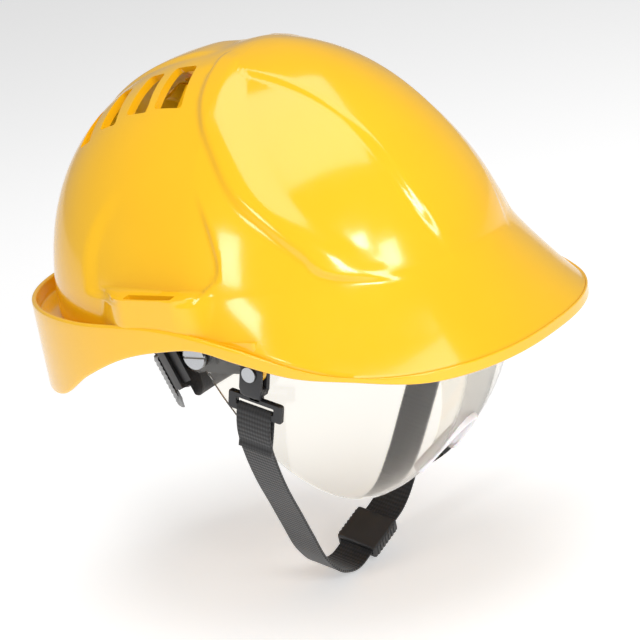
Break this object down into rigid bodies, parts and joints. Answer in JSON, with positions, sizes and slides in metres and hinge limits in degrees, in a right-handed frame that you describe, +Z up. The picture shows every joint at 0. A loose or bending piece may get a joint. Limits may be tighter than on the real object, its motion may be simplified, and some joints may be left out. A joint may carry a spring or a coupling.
{
  "type": "safety helmet",
  "caption": "Hard hat with peak, rain gutter, roof vents, drop-down clear visor, ratchet headband cradle and webbing chin strap.",
  "frame": {"origin": "centre of the headband's lower edge, where the hat seats on the head", "axes": "+Z up out of the crown, -Y out of the peak, +X to the wearer's left"},
  "size_m": [0.224, 0.3001, 0.2994],
  "materials": {
    "shell_abs": "moulded yellow ABS, high gloss",
    "cradle_plastic": "black polyethylene, satin",
    "gear_plastic": "black nylon, satin",
    "webbing": "woven polyester webbing",
    "sweat_fabric": "brushed foam-backed cloth",
    "clear_lens": "clear polycarbonate",
    "nose_rubber": "soft white elastomer",
    "nylon": "natural nylon",
    "steel": "zinc plated"
  },
  "bodies": {
    "helmet": {"shell": "shell_abs", "headband": "cradle_plastic", "sweatband": "sweat_fabric", "ratchet_housing": "cradle_plastic", "ratchet_cover": "gear_plastic", "nape_pad": "sweat_fabric", "crown_strap_right_front": "webbing", "crown_strap_left_front": "webbing", "crown_strap_cross": "webbing", "crown_pad": "sweat_fabric", "nape_hanger_left": "cradle_plastic", "visor_carrier_left": "cradle_plastic", "front_clip_left": "cradle_plastic", "mid_clip_left": "cradle_plastic", "pivot_washer_left": "nylon", "pivot_screw_left": "steel", "hook_pin_left": "steel", "nape_hanger_right": "cradle_plastic", "visor_carrier_right": "cradle_plastic", "front_clip_right": "cradle_plastic", "mid_clip_right": "cradle_plastic", "pivot_washer_right": "nylon", "pivot_screw_right": "steel", "hook_pin_right": "steel"},
    "visor": {"visor_lens": "clear_lens", "nose_pad": "nose_rubber"},
    "left_arm": {"nape_arm_left": "cradle_plastic"},
    "right_arm": {"nape_arm_right": "cradle_plastic"},
    "knob": {"ratchet_knob": "gear_plastic", "ratchet_pinion": "gear_plastic", "knob_screw": "steel"},
    "chin": {"chin_strap": "webbing", "strap_hook_left": "gear_plastic", "strap_hook_right": "gear_plastic"},
    "buckle": {"chin_buckle": "gear_plastic"}
  },
  "joints": [
    {"name": "visor_pivot", "type": "hinge", "parent": "helmet", "child": "visor", "pos_m": [0, 0.01, 0.015], "axis": [-1, 0, 0], "range_deg": [0, 52]},
    {"name": "ratchet_turn", "type": "hinge", "parent": "helmet", "child": "knob", "pos_m": [0, 0.08635, -0.01765], "axis": [0, 0.9272, -0.3746], "range_deg": [-70, 70]},
    {"name": "left_arm_travel", "type": "hinge", "parent": "helmet", "child": "left_arm", "pos_m": [0, 0.008, 0.014], "axis": [0, 0.3746, 0.9272], "range_deg": [-5.1, 5.1]},
    {"name": "right_arm_travel", "type": "hinge", "parent": "helmet", "child": "right_arm", "pos_m": [0, 0.008, 0.014], "axis": [0, 0.3746, 0.9272], "range_deg": [-5.1, 5.1]},
    {"name": "chin_swing", "type": "hinge", "parent": "helmet", "child": "chin", "pos_m": [0, -0.03, 0.011], "axis": [1, 0, 0], "range_deg": [0, 45]},
    {"name": "buckle_slide", "type": "slide", "parent": "chin", "child": "buckle", "axis": [0.9269, -0.0996, 0.3617], "range_m": [-0.01, 0.01]}
  ],
  "couplings": [
    {"joint": "left_arm_travel", "follows": "ratchet_turn", "ratio": 0.07251},
    {"joint": "right_arm_travel", "follows": "ratchet_turn", "ratio": -0.07251}
  ]
}
